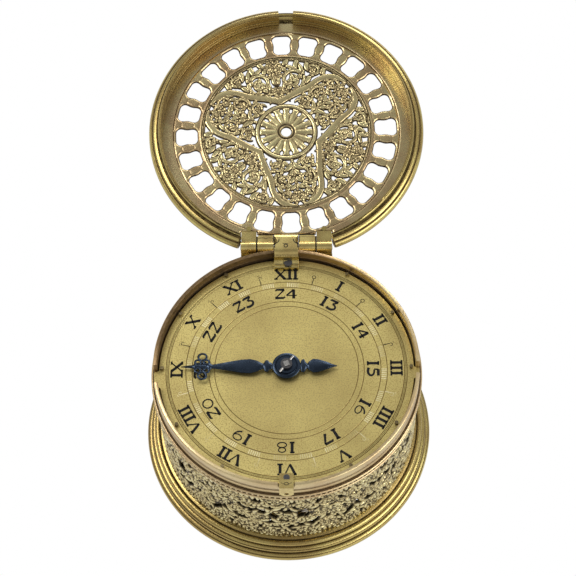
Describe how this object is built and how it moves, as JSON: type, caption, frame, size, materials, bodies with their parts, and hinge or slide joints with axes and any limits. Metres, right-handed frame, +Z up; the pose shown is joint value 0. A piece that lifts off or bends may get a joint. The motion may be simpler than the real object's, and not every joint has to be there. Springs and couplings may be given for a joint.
{
  "type": "clock watch",
  "caption": "Drum-shaped gilt-brass clock watch with a hinged pierced lid, single-hand dial, swing-out verge movement and a bell.",
  "frame": {"origin": "centre of the underside of the base, on the surface the watch stands on", "axes": "+Z up through the dial, +Y towards the hinge at twelve o'clock, +X towards three o'clock"},
  "size_m": [0.0676, 0.1292, 0.0442],
  "materials": {
    "gilt_moulding": "polished gilt brass",
    "gilt_pierced": "chased and gilt brass",
    "gilt_neck": "burnished gilt brass",
    "gilt_dial": "matted gilt brass",
    "gilt_plate": "brushed gilt brass",
    "steel": "filed steel",
    "blued_steel": "blued steel",
    "bell_metal": "turned bell metal"
  },
  "bodies": {
    "case": {"base_ring": "gilt_moulding", "base_plate": "gilt_pierced", "case_band": "gilt_pierced", "neck_ring": "gilt_neck", "bell": "bell_metal", "bell_post": "steel", "bell_nut": "steel", "hinge_plate": "gilt_moulding", "hinge_rivets": "gilt_moulding", "hinge_pin": "steel"},
    "lid": {"lid_rim": "gilt_moulding", "lid_grille": "gilt_pierced", "lid_lugs": "gilt_neck", "lid_rivets": "gilt_moulding"},
    "movement": {"dial_plate": "gilt_dial", "touch_pins": "gilt_dial", "dial_feet": "gilt_plate", "dial_foot_pins": "steel", "hinge_strap": "gilt_neck", "strap_screw": "blued_steel", "front_plate": "gilt_plate", "pillars": "gilt_plate", "back_plate": "gilt_plate", "pillar_pins": "steel", "going_spring": "steel", "strike_spring": "steel", "spring_posts": "steel", "potence": "gilt_plate", "counter_potence": "gilt_plate", "foliot_cock": "gilt_plate", "plate_screws": "blued_steel", "bristle_regulator": "gilt_plate", "hammer_spring": "steel", "stackfreed_spring": "steel", "catch_rivet": "blued_steel", "catch_tongue": "gilt_neck"},
    "going_great": {"going_great_wheel": "steel"},
    "going_click": {"going_click": "steel"},
    "going_winding": {"going_arbor": "steel"},
    "second": {"second_wheel": "steel"},
    "contrate": {"contrate_wheel": "steel"},
    "crown": {"crown_wheel": "steel"},
    "verge": {"verge": "steel", "foliot": "steel"},
    "stackfreed": {"stackfreed_cam": "steel"},
    "roller": {"stackfreed_roller": "steel"},
    "hand": {"hour_wheel": "steel", "hour_hand": "blued_steel", "hand_collar": "steel", "hand_pin": "steel"},
    "strike_great": {"strike_great_wheel": "steel"},
    "strike_click": {"strike_click": "steel"},
    "strike_winding": {"strike_arbor": "steel"},
    "hoop": {"hoop_wheel": "steel"},
    "warning": {"warning_wheel": "steel"},
    "fly": {"fly": "steel"},
    "count": {"count_wheel": "steel"},
    "lever": {"count_lever": "steel"},
    "hammer": {"hammer": "steel"}
  },
  "joints": [
    {"name": "lid_hinge", "type": "hinge", "parent": "case", "child": "lid", "pos_m": [0, 0.0314, 0.03255], "axis": [1, 0, 0], "range_deg": [0, 171.5]},
    {"name": "movement_swing", "type": "hinge", "parent": "case", "child": "movement", "pos_m": [0, 0.0314, 0.03255], "axis": [-1, 0, 0], "range_deg": [0, 95]},
    {"name": "going_train", "type": "hinge", "parent": "movement", "child": "going_great", "pos_m": [-0.0104, -0.0066, 0.0239], "axis": [0, 0, 1], "continuous": true},
    {"name": "second_turn", "type": "hinge", "parent": "movement", "child": "second", "pos_m": [-0.00771, 0.00386, 0.0239], "axis": [0, 0, 1], "continuous": true},
    {"name": "contrate_turn", "type": "hinge", "parent": "movement", "child": "contrate", "pos_m": [-0.00199, 0.01069, 0.0202], "axis": [0, 0, 1], "continuous": true},
    {"name": "crown_turn", "type": "hinge", "parent": "movement", "child": "crown", "pos_m": [0.00601, 0.01069, 0.0215], "axis": [1, 0, 0], "continuous": true},
    {"name": "hand_turn", "type": "hinge", "parent": "movement", "child": "hand", "pos_m": [0, 0, 0.0327], "axis": [0, 0, 1], "continuous": true},
    {"name": "going_winding_turn", "type": "hinge", "parent": "movement", "child": "going_winding", "pos_m": [-0.0104, -0.0066, 0.0202], "axis": [0, 0, 1], "continuous": true},
    {"name": "stackfreed_turn", "type": "hinge", "parent": "movement", "child": "stackfreed", "pos_m": [-0.014, -0.00036, 0.016], "axis": [0, 0, 1], "continuous": true},
    {"name": "roller_turn", "type": "hinge", "parent": "movement", "child": "roller", "pos_m": [-0.01226, 0.00614, 0.0152], "axis": [0, 0, 1], "continuous": true},
    {"name": "going_click_lift", "type": "hinge", "parent": "going_great", "child": "going_click", "pos_m": [-0.01468, -0.00816, 0.0231], "axis": [0, 0, 1], "range_deg": [0, 8], "stiffness_Nm_per_rad": 0.00002},
    {"name": "foliot_swing", "type": "hinge", "parent": "movement", "child": "verge", "pos_m": [0.00951, 0.01069, 0.0182], "axis": [0, 0, 1], "range_deg": [-35, 35]},
    {"name": "strike_train", "type": "hinge", "parent": "movement", "child": "strike_great", "pos_m": [0.0104, -0.0066, 0.0195], "axis": [0, 0, 1], "continuous": true},
    {"name": "hoop_turn", "type": "hinge", "parent": "movement", "child": "hoop", "pos_m": [0.00965, 0.00417, 0.0232], "axis": [0, 0, 1], "continuous": true},
    {"name": "warning_turn", "type": "hinge", "parent": "movement", "child": "warning", "pos_m": [0.01641, 0.00664, 0.0229], "axis": [0, 0, 1], "continuous": true},
    {"name": "fly_turn", "type": "hinge", "parent": "movement", "child": "fly", "pos_m": [0.0144, 0.01216, 0.0212], "axis": [0, 0, 1], "continuous": true},
    {"name": "count_turn", "type": "hinge", "parent": "movement", "child": "count", "pos_m": [0.00088, -0.01104, 0.016], "axis": [0, 0, 1], "continuous": true},
    {"name": "strike_winding_turn", "type": "hinge", "parent": "movement", "child": "strike_winding", "pos_m": [0.0104, -0.0066, 0.0222], "axis": [0, 0, 1], "continuous": true},
    {"name": "strike_click_lift", "type": "hinge", "parent": "strike_great", "child": "strike_click", "pos_m": [0.00612, -0.00816, 0.0203], "axis": [0, 0, 1], "range_deg": [0, 8], "stiffness_Nm_per_rad": 0.00002},
    {"name": "count_lever_lift", "type": "hinge", "parent": "movement", "child": "lever", "pos_m": [0.0015, 0.0032, 0.0182], "axis": [0, 0, 1], "range_deg": [0, 8], "stiffness_Nm_per_rad": 0.0001},
    {"name": "hammer_swing", "type": "hinge", "parent": "movement", "child": "hammer", "pos_m": [0.0214, -0.0044, 0.0182], "axis": [0, 0, 1], "range_deg": [0, 18], "stiffness_Nm_per_rad": 0.0002}
  ],
  "couplings": [
    {"joint": "second_turn", "follows": "going_train", "ratio": -9},
    {"joint": "contrate_turn", "follows": "going_train", "ratio": 72},
    {"joint": "crown_turn", "follows": "going_train", "ratio": 432},
    {"joint": "hand_turn", "follows": "going_train", "ratio": -0.2},
    {"joint": "stackfreed_turn", "follows": "going_winding_turn", "ratio": -0.25},
    {"joint": "hoop_turn", "follows": "strike_train", "ratio": -9},
    {"joint": "warning_turn", "follows": "strike_train", "ratio": 63},
    {"joint": "fly_turn", "follows": "strike_train", "ratio": -378},
    {"joint": "count_turn", "follows": "strike_train", "ratio": -0.16667}
  ]
}
